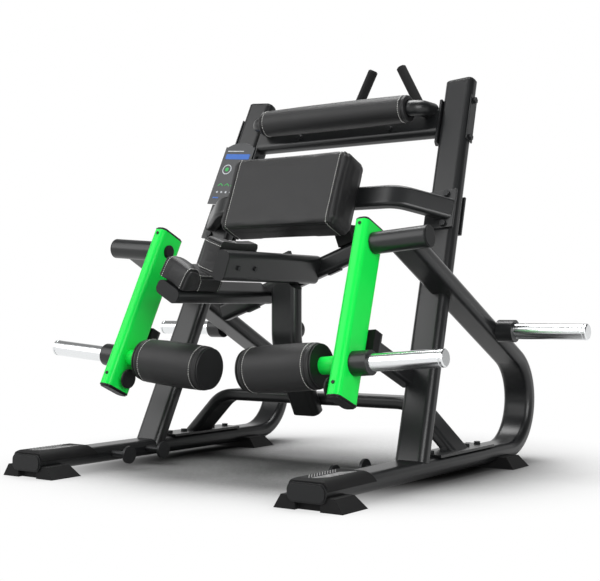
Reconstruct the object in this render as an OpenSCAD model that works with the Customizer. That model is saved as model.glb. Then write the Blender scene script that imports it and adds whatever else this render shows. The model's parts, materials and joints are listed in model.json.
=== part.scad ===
// Plate-loaded leg curl machine: two leaning side frames, two swinging arms with
// ankle rollers and load horns, a rocking knee cradle, a torso pad and a top roller.
// Millimetres, +Z up, +X to the machine's right, +Y to its rear, standing on Z = 0.

/* [Frame tube] */
// Width of the frame tube
tube_w = 100; // [92:1:110]
// Thickness of the frame tube
tube_t = 50; // [46:1:56]
// Corner radius of the frame tube
tube_r = 20; // [15:1:22]
// Wall of every steel tube
wall = 3; // [2:0.5:4]

/* [Side frames] */
// Distance of each rail from the middle of the machine
side_x = 502; // [480:1:540]
// Height of the rails above the floor
rail_clear = 20; // [15:1:30]
// Reach of the rails in front of the arm pivot
rail_reach = 470; // [440:1:500]
// Distance of the rear bend's centre behind the arm pivot
bend_y = 626; // [590:1:660]
// Radius of the rear bend
bend_r = 157; // [130:1:175]
// Inward tilt of the uprights
side_tilt = 4.6; // [3:0.1:6]
// Backward lean of the uprights
lean = 23; // [20:0.5:26]
// Distance of the upright's foot behind the arm pivot
upright_y = 67; // [50:1:90]
// Length of the uprights above the rail
upright_len = 1264; // [1240:2:1310]
// Thickness of the tube end caps
cap_t = 8; // [5:1:12]

/* [Feet] */
// Width of a rubber foot
foot_w = 208; // [180:1:230]
// Length of a rubber foot
foot_l = 118; // [90:1:130]
// Height of a rubber foot
foot_h = 36; // [30:1:44]
// Length of a foot plate
tread_l = 236; // [200:1:280]
// Width of a foot plate
tread_w = 118; // [114:1:130]
// Height of a foot plate over the rail
tread_t = 10; // [6:1:14]

/* [Arms] */
// Height of the arm pivot, along the tilted side frame
pivot_h = 691; // [660:1:720]
// Outer radius of a pivot housing
housing_r = 32; // [29:0.5:38]
// Length of a pivot housing
housing_l = 175; // [150:1:200]
// Radius of a pivot shaft
shaft_r = 18; // [14:0.5:21]
// Running clearance of the shafts in their bores
run_gap = 0.05; // [0.02:0.01:0.1]
// Depth of an arm tube, front to rear
arm_w = 106; // [96:1:112]
// Thickness of an arm tube
arm_t = 45; // [40:1:52]
// Corner radius of an arm tube
arm_r = 17; // [12:1:19]
// Distance of an arm's middle inside the side frame
arm_in = 60; // [56:1:70]
// Forward swing of the arms at rest
arm_lean = 23.5; // [20:0.5:25]
// Reach of an arm above its pivot
arm_up = 56; // [50:1:70]
// Reach of an arm below its pivot
arm_down = 474; // [465:1:500]
// Distance from the pivot to the roller and load horn
horn_drop = 368; // [350:1:375]
// Distance from the pivot to the band peg
peg_drop = 436; // [430:1:440]

/* [Horns] */
// Radius of a plate horn
horn_r = 25; // [23:0.1:25.4]
// Length of a load horn outside its collar
load_l = 226; // [200:1:260]
// Length of a storage horn outside its collar
store_l = 236; // [200:1:280]
// Radius of a horn collar
collar_r = 35; // [30:1:40]
// Length of a horn collar
collar_l = 55; // [40:1:65]
// Distance of the storage horns behind the arm pivot
store_y = 523; // [480:1:560]

/* [Rollers] */
// Radius of an ankle roller
roller_r = 70; // [60:1:74]
// Length of an ankle roller
roller_l = 262; // [235:1:275]
// Gap between an arm and its roller
roller_gap = 60; // [60:1:80]
// Radius of the axle between an arm and its roller
axle_r = 25; // [20:1:30]
// Radius of the top roller
top_roller_r = 48; // [42:1:52]
// Length of the top roller
top_roller_l = 580; // [540:1:586]
// Distance of the top roller behind the arm pivot
top_roller_y = 420; // [405:1:430]
// Height of the top roller
top_roller_z = 1142; // [1130:1:1150]

/* [Top] */
// Distance of the crossbar up the uprights
crossbar_up = 1122; // [1105:1:1140]
// Distance of a handle behind the arm pivot
handle_y = 768; // [720:1:780]
// Distance of a handle's foot from the middle
handle_x = 185; // [160:1:200]
// Height of a handle's foot
handle_z = 1120; // [1112:1:1130]
// Length of a handle
handle_l = 266; // [240:1:280]
// Inward lean of the handles
handle_in = 28; // [20:1:32]
// Radius of a handle bar
bar_r = 14; // [11:0.5:15]

/* [Torso pad] */
// Width of the torso pad
torso_w = 450; // [420:1:470]
// Height of the torso pad
torso_h = 246; // [220:1:260]
// Thickness of the torso pad
torso_t = 100; // [85:1:108]
// Lean of the torso pad
torso_lean = 22; // [19:0.5:24]
// Distance of the pad's front behind the arm pivot
torso_y = 117; // [100:1:130]
// Height of the pad's middle
torso_z = 874; // [862:1:884]

/* [Knee cradle] */
// Height of the cradle's pivot
cradle_z = 433; // [425:1:445]
// Height of the cradle's rails over its pivot
cradle_up = 164; // [160:1:175]
// Side tilt of the cradle at rest
cradle_tilt = 20; // [16:0.5:22]
// Distance of each cradle rail from the cradle's middle
cradle_u = 107; // [104:1:115]
// Roll of each cradle rail towards the middle
cradle_vee = 50; // [45:1:54]
// Reach of the cradle in front of the arm pivot
cradle_reach = 236; // [215:1:242]
// Length of a knee pad
knee_l = 182; // [165:1:205]
// Width of a knee pad
knee_w = 112; // [100:1:118]
// How far a knee pad stands out past the middle of its rail
knee_out = 10; // [0:1:12]
// Thickness of a knee pad at its rear
knee_t = 51; // [42:1:54]
// Extra thickness of the hump at a knee pad's front
knee_hump = 22; // [12:1:26]

/* [Hidden] */
$fn = 48;
corner_steps = 4;
weld = 0.01;
paint = "#303234";
green = "#18d04a";
chrome_tone = "#d8dadc";
leather_tone = "#232425";
rubber_tone = "#1c1c1d";
plastic_tone = "#27282a";
steel_tone = "#8c9094";

rail_z = rail_clear + tube_t / 2;
rail_top = rail_clear + tube_t;
bend_z = rail_z + bend_r;
// The rear strut of each hoop aims at the arm pivot
aim_z = pivot_h / cos(side_tilt);
aim_d = norm([bend_y, aim_z - bend_z]);
strut_a = atan2(aim_z - bend_z, bend_y) - asin(bend_r / aim_d);
strut_len = sqrt(aim_d * aim_d - bend_r * bend_r);
store_z = aim_z - store_y * tan(strut_a);
// Front and rear ends of the machine, and the shift that centres it
front_end = -rail_reach - cap_t;
rear_end = bend_y + bend_r + tube_t / 2;
mid_y = (front_end + rear_end) / 2;

foot_slope = 23;
foot_tail = 28;
notch_w = 76;
notch_l = 16;
foot_front_y = -rail_reach;
foot_rear_y = bend_y - foot_l - 2;

seat_gap = 0.3;
arm_outer = -arm_in + arm_t / 2;
arm_inner = -arm_in - arm_t / 2;
housing_x = arm_outer + 2.5;
housing_end = housing_x + housing_l;
bush_r = housing_r - 7;
bush_l = 45;
spigot_r = 12.5;
roller_x = arm_inner - roller_gap;
pin_r = 12;
disc_t = 5;
disc_r = roller_r - 8;
core_r = 28;
peg_r = 14;
peg_l = 16;
peg_disc_r = 30;
peg_disc_t = 10;

bumper_t = 30;
bumper_h = 78;
bumper_w = 62;
bumper_z = -284;
bumper_x = -52;
stop_plate_t = 8;
stop_w = 46;
stop_h = 60;
stop_x = -45;
stop_z = -295;

crossbar_h = rail_top + crossbar_up * cos(lean);
crossbar_y = upright_y + crossbar_up * sin(lean);
crossbar_z = crossbar_h * cos(side_tilt);
plate_t = 8;
plate_h = 160;
washer_plate_t = 4;
washer_plate_w = 38;
bolt_r = 6;
bolt_hole = 0.2;
bolt_head = 11;
bolt_head_t = 8;
cross_bolt_z = 68;
button_x = 180;
button_r = 12;
button_t = 6;
roller_tube_r = 26;
roller_elbow = 33;
grip_t = 3.5;
grip_l = 150;
handle_elbow = 60;

board_t = 15;
bracket_h = 70;
bracket_t = 40;
bracket_r = 12;
clamp_up = 788;
clamp_h = 130;
clamp_bolt_z = 51;
clamp_x = 18;
// Where the bracket's middle line meets a clamp plate
clamp_out = tube_t / 2 + plate_t;
bracket_y = upright_y + clamp_up * sin(lean) - clamp_out * cos(lean);
clamp_end_h = rail_top + clamp_up * cos(lean) + clamp_out * sin(lean);
bracket_z = clamp_end_h * cos(side_tilt);
bracket_x = side_x + clamp_x - clamp_end_h * sin(side_tilt);
// Depth of the bracket's bend, down the torso pad's own lean
bracket_d = (bracket_y - torso_y) * cos(torso_lean) - (bracket_z - torso_z) * sin(torso_lean)
    - torso_t - board_t - bracket_t / 2;
turn_a = 42;
turn_r = 100;
turn_deep = bracket_d - turn_r * (1 - cos(turn_a));
turn_x = bracket_x - turn_r * sin(turn_a) - turn_deep / tan(turn_a);

arch_y = 316;
arch_z = 209;
arch_t = 38;
arch_edge = 15;
arch_r = 110;
arch_a = 45;
flange_t = 8;
flange_l = 350;
flange_w = 94;
flange_top = rail_top + flange_t;
arch_rise = arch_z - flange_top - arch_r * (1 - cos(arch_a));
arch_flat_x = round(side_x - 2 - arch_rise / tan(arch_a) - arch_r * sin(arch_a));
flange_bolts = [-150, -76, 76, 150];

post_y = 146;
post_top = 596;
post_eave = 40;
post_lip = 8;
post_bend_z = 430;
post_r = 180;
post_a = 29;
post_run = 200;
post_back = post_y + tube_t / 2;
post_front = post_y - tube_t / 2;
cradle_pin_r = 16;
hub_r = 30;
hub_gap = 3;
pin_head_t = 6;
cradle_rail_w = 90;
cradle_rail_t = 45;
knee_rim = 22;
cradle_rail_r = 18;
cradle_rear = 225;
cross_w = 45;
cross_h = 60;
cross_r = 15;
cross_half = 288;
cross_y = cradle_rear + cross_w / 2;
hub_l = 30;
hub_front = post_back + hub_gap;
hub_end = hub_front + hub_l;
web_t = 30;
web_w = 50;
web_h = cradle_up - cross_h / 2;
lug_x = 148;
lug_l = 48;
lug_t = 5;
block_x = 252;
block_w = 58;
block_h = 54;
stand_w = 62;
stand_h = 66;

band_y = [-163, -4];
band_l = 66;
band_r = 9;
band_disc_r = 27;
band_disc_t = 9;
placard_w = 130;
placard_x = 14;
placard_l = 246;
placard_t = 4;
placard_up = 858;

// Places

module machine() translate([0, -mid_y, 0]) children();

module on_side(s) {
    if (s > 0) translate([side_x, 0, 0]) rotate([0, -side_tilt, 0]) children();
    else mirror([1, 0, 0]) translate([side_x, 0, 0]) rotate([0, -side_tilt, 0]) children();
}

module both_sides() {
    on_side(1) children();
    on_side(-1) children();
}

module mirrored() {
    children();
    mirror([1, 0, 0]) children();
}

module on_hoop(s) {
    if (s > 0) translate([side_x, 0, 0]) children();
    else mirror([1, 0, 0]) translate([side_x, 0, 0]) children();
}

// Along an upright: X across its front, Y to its rear face, Z up its length
module on_upright() translate([0, upright_y, rail_top]) rotate([-lean, 0, 0]) children();

// Along an arm at rest, with the pivot at the origin
module on_arm() translate([0, 0, pivot_h]) rotate([-arm_lean, 0, 0]) children();

module on_horn() on_arm() translate([0, 0, -horn_drop]) children();

module on_torso() translate([0, torso_y, torso_z]) rotate([-torso_lean, 0, 0]) children();

module on_crossbar() translate([0, crossbar_y, crossbar_z]) rotate([-lean, 0, 0]) children();

module on_cradle() translate([0, 0, cradle_z]) rotate([0, -cradle_tilt, 0]) children();

module on_cradle_rail(s) translate([s * cradle_u, 0, cradle_up]) rotate([0, -s * cradle_vee, 0]) children();

// Draw in the Y-Z plane, with the third axis along X
module side_view() rotate([90, 0, 90]) children();

// Draw in the X-Z plane, with the third axis towards the front
module front_view() rotate([90, 0, 0]) children();

module along_x(x) translate([x, 0, 0]) rotate([0, 90, 0]) children();

module along_y(y) translate([0, y, 0]) rotate([-90, 0, 0]) children();

// Shapes

module oval(w, t, r) {
    square([w - 2 * r, t], center = true);
    square([w, t - 2 * r], center = true);
    for (x = [-1, 1], y = [-1, 1]) translate([x * (w / 2 - r), y * (t / 2 - r)]) circle(r);
}

module oval_ring(w, t, r) difference() {
    oval(w, t, r);
    oval(w - 2 * wall, t - 2 * wall, r - wall);
}

// A flat bar along X, with its thickness along Y and its width along Z
module bar(len, w, t, r) rotate([90, 0, 90]) linear_extrude(len) oval(t, w, r);

// A straight run of tube along X, hollow or as the space that it takes
module run(len, w, t, r, hollow = true) rotate([90, 0, 90]) linear_extrude(len) difference() {
    oval(t, w, r);
    if (hollow) oval(t - 2 * wall, w - 2 * wall, r - wall);
}

// A tube bent about the origin from the X axis through angle a, with a straight run in front of the
// bend and another welded on behind it
module bent(bend, a, before, after, w, t, r, hollow = true) {
    rotate_extrude(angle = a) translate([bend, 0]) difference() {
        oval(t, w, r);
        if (hollow) oval(t - 2 * wall, w - 2 * wall, r - wall);
    }
    translate([bend, 0]) rotate(-90) run(before, w, t, r, hollow);
    if (after > 0) rotate(a) translate([bend, weld]) rotate(90) run(after - weld, w, t, r, hollow);
}

module rod_elbow(bend, a, r) rotate_extrude(angle = a) translate([bend, 0]) circle(r);

module ring(h, outer, inner) difference() {
    cylinder(h = h, r = outer);
    translate([0, 0, -1]) cylinder(h = h + 2, r = inner);
}

// A roller's padding: a barrel-shaped tube with rounded ends, along Z
module roller_padding(len, r, bore, crown, round) rotate_extrude() {
    rim = r - crown;
    edge = min(round, (rim - bore) / 2 - run_gap);
    polygon([[bore, 0], [rim - edge, 0], [rim - edge, edge], [rim, edge], [r, len * 0.3], [r, len * 0.7],
        [rim, len - edge], [rim - edge, len - edge], [rim - edge, len], [bore, len]]);
    for (z = [edge, len - edge]) translate([rim - edge, z]) circle(edge);
}

// A bolt along +Z: its head stands under the grip, its nut over it
module bolt(grip) {
    translate([0, 0, -bolt_head_t]) cylinder(h = bolt_head_t, r = bolt_head, $fn = 6);
    cylinder(h = grip, r = bolt_r);
    translate([0, 0, grip]) cylinder(h = bolt_head_t, r = bolt_head, $fn = 6);
}

// One ring of a cushion: a rounded rectangle whose sides are drawn in between its corners
function side_points(w, l, r, pull, per_side) = [
    for (k = [0 : 3])
        let (across = k % 2 == 0,
             run = across ? l / 2 - r : w / 2 - r,
             out = across ? w / 2 : l / 2,
             turn = k * 90)
        each concat(
            [for (i = [0 : per_side])
                let (t = -1 + 2 * i / per_side, d = out - pull * (1 - t * t))
                [d * cos(turn) - t * run * sin(turn), d * sin(turn) + t * run * cos(turn)]],
            [for (j = [1 : corner_steps - 1])
                let (a = turn + 90 * j / corner_steps,
                     cx = (out - r) * cos(turn) - run * sin(turn),
                     cy = (out - r) * sin(turn) + run * cos(turn))
                [cx + r * cos(a), cy + r * sin(a)]]
        )
];

// A closed cushion: flat underneath, drawn-in sides, a rounded rim and a crowned top.
// The hump adds height towards the +Y end.
module cushion(w, l, h, r, rim, crown, pull, hump = 0, hump_l = 1) {
    per_side = 8;
    rim_steps = 4;
    crown_steps = 3;
    levels = concat(
        [[0, 2, 0], [1, 0, 0.04], [1, 0, 0.3]],
        [for (i = [0 : rim_steps])
            let (a = 90 * i / rim_steps) [1, rim * (1 - cos(a)), -1 - i]],
        [for (i = [1 : crown_steps]) [1, rim, -10 - i]]
    );
    function rise(y) = hump * (1 - pow(1 - min(1, max(0, (y - (l / 2 - hump_l)) / (hump_l * 0.4))), 3));
    rings = [
        for (n = [0 : len(levels) - 1])
            let (lv = levels[n],
                 on_crown = lv[2] <= -10,
                 share = on_crown ? 1 - (-10 - lv[2]) / (crown_steps + 1) : 1,
                 inset = n == 0 ? 1.5 : (on_crown ? rim : lv[1]),
                 base = side_points(w - 2 * inset, l - 2 * inset, max(3, r - inset), pull, per_side))
            [for (p = base)
                let (q = p * share,
                     rim_i = -1 - lv[2],
                     flat = lv[2] >= 0,
                     top = h + rise(q[1]),
                     z = flat ? lv[2] * (top - rim)
                         : on_crown ? top + crown * (1 - share * share)
                         : top - rim + rim * sin(90 * rim_i / rim_steps))
                [q[0], q[1], z]]
    ];
    count = len(rings[0]);
    last = len(rings) - 1;
    points = concat([for (g = rings) each g], [[0, 0, h + rise(0) + crown], [0, 0, 0]]);
    apex = len(points) - 2;
    base_mid = len(points) - 1;
    faces = concat(
        [for (g = [0 : last - 1], i = [0 : count - 1])
            let (j = (i + 1) % count, a = g * count, b = a + count) each
            [[a + i, b + i, b + j], [a + i, b + j, a + j]]],
        [for (i = [0 : count - 1]) [last * count + i, apex, last * count + (i + 1) % count]],
        [for (i = [0 : count - 1]) [(i + 1) % count, base_mid, i]]
    );
    polyhedron(points, faces);
}

// A plate horn along +Z from its collar's outer face, with a spigot behind it
module horn(len, behind) {
    groove = 3;
    tip = 9;
    translate([0, 0, -behind]) cylinder(h = behind, r = spigot_r);
    cylinder(h = len - tip - groove, r = horn_r);
    translate([0, 0, len - tip - groove]) cylinder(h = groove, r = horn_r - 1.5);
    translate([0, 0, len - tip]) cylinder(h = tip - 3, r = horn_r);
    translate([0, 0, len - 3]) cylinder(h = 3, r1 = horn_r, r2 = horn_r - 3);
}

// Side frames

module hoop_shape(hollow, more = 0) side_view() translate([bend_y, bend_z]) rotate(-90)
    bent(bend_r, 180 - strut_a, bend_y + rail_reach + more, strut_len, tube_w, tube_t, tube_r, hollow);

module hoop_solid(more = 0) translate([side_x, 0, 0]) hoop_shape(false, more);

module upright_shape(w, t, r, low) on_upright() translate([0, 0, low])
    linear_extrude(upright_len - low) oval(w, t, r);

module housing_shape() translate([0, 0, pivot_h]) along_x(housing_x) cylinder(h = housing_l, r = housing_r);

module hoop(s) color(paint) machine() difference() {
    on_hoop(s) difference() {
        hoop_shape(true);
        for (y = flange_bolts) translate([0, arch_y + y, rail_z])
            cylinder(h = tube_t, r = bolt_r + bolt_hole);
    }
    on_side(s) housing_shape();
    on_side(s) upright_shape(tube_w, tube_t, tube_r, 2 * tube_w);
}

module upright(s) color(paint) machine() difference() {
    on_side(s) difference() {
        upright_shape(tube_w, tube_t, tube_r, -tube_w);
        on_upright() translate([0, 0, -2 * tube_w]) linear_extrude(upright_len + 3 * tube_w)
            oval(tube_w - 2 * wall, tube_t - 2 * wall, tube_r - wall);
        on_upright() {
            for (z = [-1, 1]) translate([0, 0, crossbar_up + z * cross_bolt_z])
                along_x(-tube_w) cylinder(h = 2 * tube_w, r = bolt_r + bolt_hole);
            for (z = [-1, 1]) translate([clamp_x, 0, clamp_up + z * clamp_bolt_z])
                along_y(-tube_t) cylinder(h = 2 * tube_t, r = bolt_r + bolt_hole);
        }
    }
    on_hoop(s) side_view() translate([-rail_reach, rail_z])
        bar(bend_y + rail_reach, tube_w, tube_t, tube_r);
    translate([-side_x - tube_w, -tube_w, rail_top - tube_r - 2 * tube_w])
        cube([2 * side_x + 2 * tube_w, 4 * tube_w, 2 * tube_w]);
}

module tube_end_caps() color(plastic_tone) machine() {
    mirrored() translate([side_x, -rail_reach, rail_z]) front_view() {
        linear_extrude(cap_t * 0.6) oval(tread_w, tube_t, tube_r);
        linear_extrude(cap_t) oval(tread_w - cap_t, tube_t - cap_t, tube_r - cap_t / 2);
    }
    both_sides() on_upright() translate([0, 0, upright_len]) {
        linear_extrude(cap_t * 0.5) oval(tube_w, tube_t, tube_r);
        linear_extrude(cap_t) oval(tube_w - cap_t, tube_t - cap_t, tube_r - cap_t / 2);
    }
}

module foot_plates() color(rubber_tone) machine() mirrored() difference() {
    slope = tread_t + tube_r;
    intersection() {
        translate([side_x + tread_w / 2, 0, 0]) rotate([90, 0, -90]) linear_extrude(tread_w)
            polygon([[rail_reach, rail_top - tube_r], [rail_reach, rail_top + tread_t * 0.4],
                [rail_reach - tread_t, rail_top + tread_t],
                [rail_reach - tread_l + slope, rail_top + tread_t],
                [rail_reach - tread_l, rail_top - tube_r]]);
        translate([side_x, tread_l - rail_reach + 1, rail_z + tread_t / 2]) front_view()
            linear_extrude(tread_l + 2) oval(tread_w, tube_t + tread_t, tube_r + tread_t / 2);
    }
    hoop_solid(1);
}

module rubber_feet() color(rubber_tone) machine() mirrored() difference() {
    for (y = [foot_front_y, foot_rear_y]) intersection() {
        translate([side_x, y + foot_l, 0]) front_view() linear_extrude(foot_l)
            polygon([[-foot_w / 2, 0], [foot_w / 2, 0],
                [foot_w / 2 - foot_slope, foot_h], [foot_slope - foot_w / 2, foot_h]]);
        translate([side_x - foot_w / 2, 0, 0]) side_view() linear_extrude(foot_w)
            polygon([[y, 0], [y + foot_l, 0], [y + foot_l - foot_tail, foot_h], [y, foot_h]]);
    }
    translate([side_x - notch_w / 2, foot_front_y - 1, -1]) cube([notch_w, notch_l + 1, foot_h]);
    hoop_solid(1);
}

module band_pegs() color(steel_tone) machine() mirrored() difference() {
    for (y = band_y) translate([side_x - tube_w / 2, y, rail_z]) {
        along_x(-band_l) cylinder(h = band_l + tube_r, r = band_r);
        along_x(-band_l - band_disc_t) cylinder(h = band_disc_t, r = band_disc_r);
    }
    hoop_solid();
}

module pivot_housing(s) color(paint) machine() on_side(s) difference() {
    housing_shape();
    translate([0, 0, pivot_h]) along_x(housing_x - 1) cylinder(h = housing_l + 2, r = bush_r);
}

module pivot_bushes() color(steel_tone) machine() both_sides() translate([0, 0, pivot_h])
    for (x = [housing_x, housing_end - bush_l]) along_x(x) ring(bush_l, bush_r, shaft_r + run_gap);

module housing_caps() color(plastic_tone) machine() both_sides() translate([0, 0, pivot_h])
    along_x(housing_end) {
        cylinder(h = 4, r = housing_r);
        cylinder(h = 6, r = housing_r - 4);
    }

// Cross arch, post and cradle pin

module cross_arch() color(paint) machine() translate([0, arch_y, 0]) difference() {
    front_view() {
        translate([weld - arch_flat_x, arch_z]) run(2 * (arch_flat_x - weld), tube_w, arch_t, arch_edge);
        mirrored() translate([arch_flat_x, arch_z - arch_r]) rotate(90 - arch_a)
            bent(arch_r, arch_a, arch_rise / sin(arch_a) + tube_w, 0, tube_w, arch_t, arch_edge);
    }
    translate([-2 * side_x, -tube_w, flange_top - 4 * tube_w]) cube([4 * side_x, 2 * tube_w, 4 * tube_w]);
}

module arch_flanges() color(paint) machine() mirrored() difference() {
    translate([side_x - flange_w / 2, arch_y - flange_l / 2, rail_top]) cube([flange_w, flange_l, flange_t]);
    for (y = flange_bolts) translate([side_x, arch_y + y, 0])
        cylinder(h = 2 * rail_top, r = bolt_r + bolt_hole);
}

module arch_bolts() color(steel_tone) machine() mirrored() for (y = flange_bolts)
    translate([side_x, arch_y + y, flange_top]) {
        cylinder(h = bolt_head_t, r = bolt_head, $fn = 6);
        translate([0, 0, -flange_t - wall]) cylinder(h = flange_t + wall, r = bolt_r);
    }

module center_post() color(paint) machine() difference() {
    side_view() {
        translate([post_y + post_r, post_bend_z]) rotate(180)
            bent(post_r, post_a, post_top - post_eave - post_bend_z, post_run, tube_w, tube_t, tube_r);
        translate([post_y, post_top - post_eave]) rotate(90) run(post_eave, tube_w, tube_t, tube_r, false);
    }
    translate([-tube_w, arch_y, arch_z]) bar(2 * tube_w, arch_t, tube_w, arch_edge);
    for (s = [-1, 1]) translate([0, post_back + 1, post_top]) front_view() linear_extrude(tube_t + 2)
        polygon([[0, 0], [s * tube_w, 0], [s * tube_w, post_lip - 2 * post_eave]]);
    translate([0, 0, cradle_z]) along_y(post_front + wall) cylinder(h = tube_t, r = cradle_pin_r);
}

module cradle_pin() color(steel_tone) machine() translate([0, 0, cradle_z]) {
    along_y(post_front + wall) cylinder(h = hub_end + 1 - post_front - wall, r = cradle_pin_r);
    along_y(hub_end + 1) cylinder(h = pin_head_t, r = cradle_pin_r + pin_head_t);
}

// Top crossbar, top roller and handles

module crossbar_shape(w, t, r, len) on_crossbar() translate([-len / 2, 0, 0]) bar(len, w, t, r);

// Everything from the inner plates outwards
module past_plates() both_sides() translate([-tube_w / 2 - plate_t, -3 * side_x, -side_x])
    cube([2 * side_x, 6 * side_x, 4 * side_x]);

module top_crossbar() color(paint) machine() difference() {
    crossbar_shape(tube_w, tube_t, tube_r, 2 * side_x);
    crossbar_shape(tube_w - 2 * wall, tube_t - 2 * wall, tube_r - wall, 2 * side_x + 2);
    past_plates();
}

module crossbar_plates() color(paint) machine() both_sides() on_upright() difference() {
    union() {
        translate([-tube_w / 2 - plate_t, -tube_t / 2, crossbar_up - plate_h / 2])
            cube([plate_t, tube_t + 6, plate_h]);
        translate([tube_w / 2, -washer_plate_w / 2, crossbar_up - plate_h / 2])
            cube([washer_plate_t, washer_plate_w, plate_h]);
    }
    for (z = [-1, 1]) translate([0, 0, crossbar_up + z * cross_bolt_z])
        along_x(-tube_w) cylinder(h = 2 * tube_w, r = bolt_r + bolt_hole);
}

module crossbar_bolts() color(plastic_tone) machine() {
    grip = tube_w + plate_t + washer_plate_t;
    both_sides() on_upright() for (z = [-1, 1])
        translate([0, 0, crossbar_up + z * cross_bolt_z]) along_x(-tube_w / 2 - plate_t) bolt(grip);
    on_crossbar() mirrored() translate([button_x, -tube_t / 2, button_r + tube_r - tube_w / 2])
        front_view() {
            cylinder(h = button_t / 2, r = button_r);
            cylinder(h = button_t, r = button_r * 0.75);
        }
}

module roller_tube_shape(r, run) translate([0, top_roller_y, top_roller_z]) {
    half = top_roller_l / 2 + 1;
    along_x(-half) cylinder(h = 2 * half, r = r);
    mirrored() {
        translate([half, roller_elbow, 0]) rotate(-90) rod_elbow(roller_elbow, 90, r);
        translate([half + roller_elbow, roller_elbow, 0]) along_y(0)
            cylinder(h = crossbar_y - top_roller_y - roller_elbow + run, r = r);
    }
}

module top_roller_tube() color(paint) machine() difference() {
    roller_tube_shape(roller_tube_r, 0);
    roller_tube_shape(roller_tube_r - wall, -wall);
    crossbar_shape(tube_w, tube_t, tube_r, 2 * side_x);
}

module top_roller_pad() color(leather_tone) machine()
    translate([0, top_roller_y, top_roller_z]) along_x(-top_roller_l / 2)
        roller_padding(top_roller_l, top_roller_r, roller_tube_r + run_gap, 2, 9);

// One handle: a bar from the crossbar's rear that turns up and leans inwards
module on_handle() translate([handle_x, 0, handle_z]) rotate([0, -handle_in, 0]) children();

module handle_shape(r) on_handle() {
    along_y(crossbar_y) cylinder(h = handle_y - handle_elbow - crossbar_y, r = r);
    translate([0, handle_y - handle_elbow, handle_elbow]) side_view() rotate(-90)
        rod_elbow(handle_elbow, 90, r);
    translate([0, handle_y, handle_elbow]) cylinder(h = handle_l - handle_elbow, r = r);
}

module handle_bars() color(paint) machine() mirrored() difference() {
    handle_shape(bar_r);
    crossbar_shape(tube_w, tube_t, tube_r, 2 * side_x);
}

module hand_grips() color(rubber_tone) machine() mirrored() on_handle() {
    translate([0, handle_y, handle_l - grip_l]) ring(grip_l, bar_r + grip_t, bar_r);
    translate([0, handle_y, handle_l]) {
        cylinder(h = 4, r = bar_r + grip_t);
        cylinder(h = 7, r = bar_r);
    }
}

// Torso pad and its bracket

module on_bracket() translate([0, bracket_y, bracket_z]) rotate([-torso_lean, 0, 0]) children();

module torso_bracket() color(paint) machine() difference() {
    on_bracket() mirrored() translate([turn_x, turn_r - bracket_d, 0]) rotate(-90)
        bent(turn_r, turn_a, turn_x, turn_deep / sin(turn_a) + tube_w, bracket_h, bracket_t, bracket_r);
    both_sides() on_upright() translate([-2 * tube_w, -clamp_out, -side_x])
        cube([4 * tube_w, 2 * tube_w, 4 * side_x]);
}

module torso_plates() color(paint) machine() both_sides() on_upright()
    for (y = [-tube_t / 2 - plate_t, tube_t / 2]) difference() {
        translate([-tube_w / 2, y, clamp_up - clamp_h / 2]) cube([tube_w, plate_t, clamp_h]);
        for (z = [-1, 1]) translate([clamp_x, 0, clamp_up + z * clamp_bolt_z])
            along_y(y - 1) cylinder(h = plate_t + 2, r = bolt_r + bolt_hole);
    }

module torso_bolts() color(plastic_tone) machine() both_sides() on_upright()
    for (z = [-1, 1]) translate([clamp_x, 0, clamp_up + z * clamp_bolt_z])
        along_y(-clamp_out) bolt(tube_t + 2 * plate_t);

module torso_board() color(plastic_tone) machine() on_torso()
    translate([0, torso_t + board_t, 0]) front_view()
        linear_extrude(board_t - seat_gap) oval(torso_w - 30, torso_h - 30, 20);

module torso_pad() color(leather_tone) machine() on_torso() translate([0, torso_t, 0]) front_view()
    cushion(torso_w, torso_h, torso_t - 6, 26, 20, 6, 4);

module placard() color("#20262e") machine() on_side(-1) on_upright()
    translate([placard_x, -tube_t / 2, placard_up]) front_view() linear_extrude(placard_t) {
        arch = placard_w * 0.75;
        translate([-placard_w / 2, 0]) square([placard_w, placard_l - 18]);
        intersection() {
            translate([-placard_w / 2, 0]) square([placard_w, placard_l]);
            translate([0, placard_l - arch]) circle(arch, $fn = 96);
        }
    }

// Storage horns

module on_store() translate([side_x, store_y, store_z]) children();

module storage_collars() color(paint) machine() mirrored() on_store()
    along_x(tube_w / 2) ring(collar_l, collar_r, spigot_r);

module storage_sleeves() color(chrome_tone) machine() mirrored() on_store()
    along_x(tube_w / 2 + collar_l) horn(store_l, collar_l);

// Rest stops of the arms

module stop_bumpers() color(rubber_tone) machine() both_sides() on_arm()
    translate([bumper_x - bumper_w / 2, arm_w / 2 + seat_gap, bumper_z - bumper_h / 2])
        cube([bumper_w, bumper_t, bumper_h]);

module stop_struts() color(paint) machine() difference() {
    both_sides() on_arm() {
        translate([bumper_x - bumper_w / 2, arm_w / 2 + seat_gap + bumper_t, bumper_z - bumper_h / 2])
            cube([bumper_w, stop_plate_t, bumper_h]);
        translate([stop_x, arm_w / 2 + seat_gap + bumper_t + stop_plate_t, stop_z]) along_y(0)
            linear_extrude(side_x) oval_ring(stop_w, stop_h, 10);
    }
    both_sides() upright_shape(tube_w, tube_t, tube_r, 0);
    both_sides() on_upright() translate([-side_x, -tube_t / 2 + tube_r, -side_x])
        cube([2 * side_x, side_x * 2, 4 * side_x]);
}

// Arms, load horns and ankle rollers, each drawn for side s

module arm_tube(s) color(green) machine() on_side(s) on_arm() {
    difference() {
        translate([-arm_in, 0, -arm_down]) linear_extrude(arm_up + arm_down) oval_ring(arm_t, arm_w, arm_r);
        along_x(2 * arm_inner) cylinder(h = -2 * arm_inner, r = shaft_r);
        translate([0, 0, -horn_drop]) along_x(2 * arm_inner) cylinder(h = -2 * arm_inner, r = spigot_r);
    }
    translate([0, 0, -peg_drop]) along_x(arm_inner - peg_l) cylinder(h = peg_l, r = peg_r);
}

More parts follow.
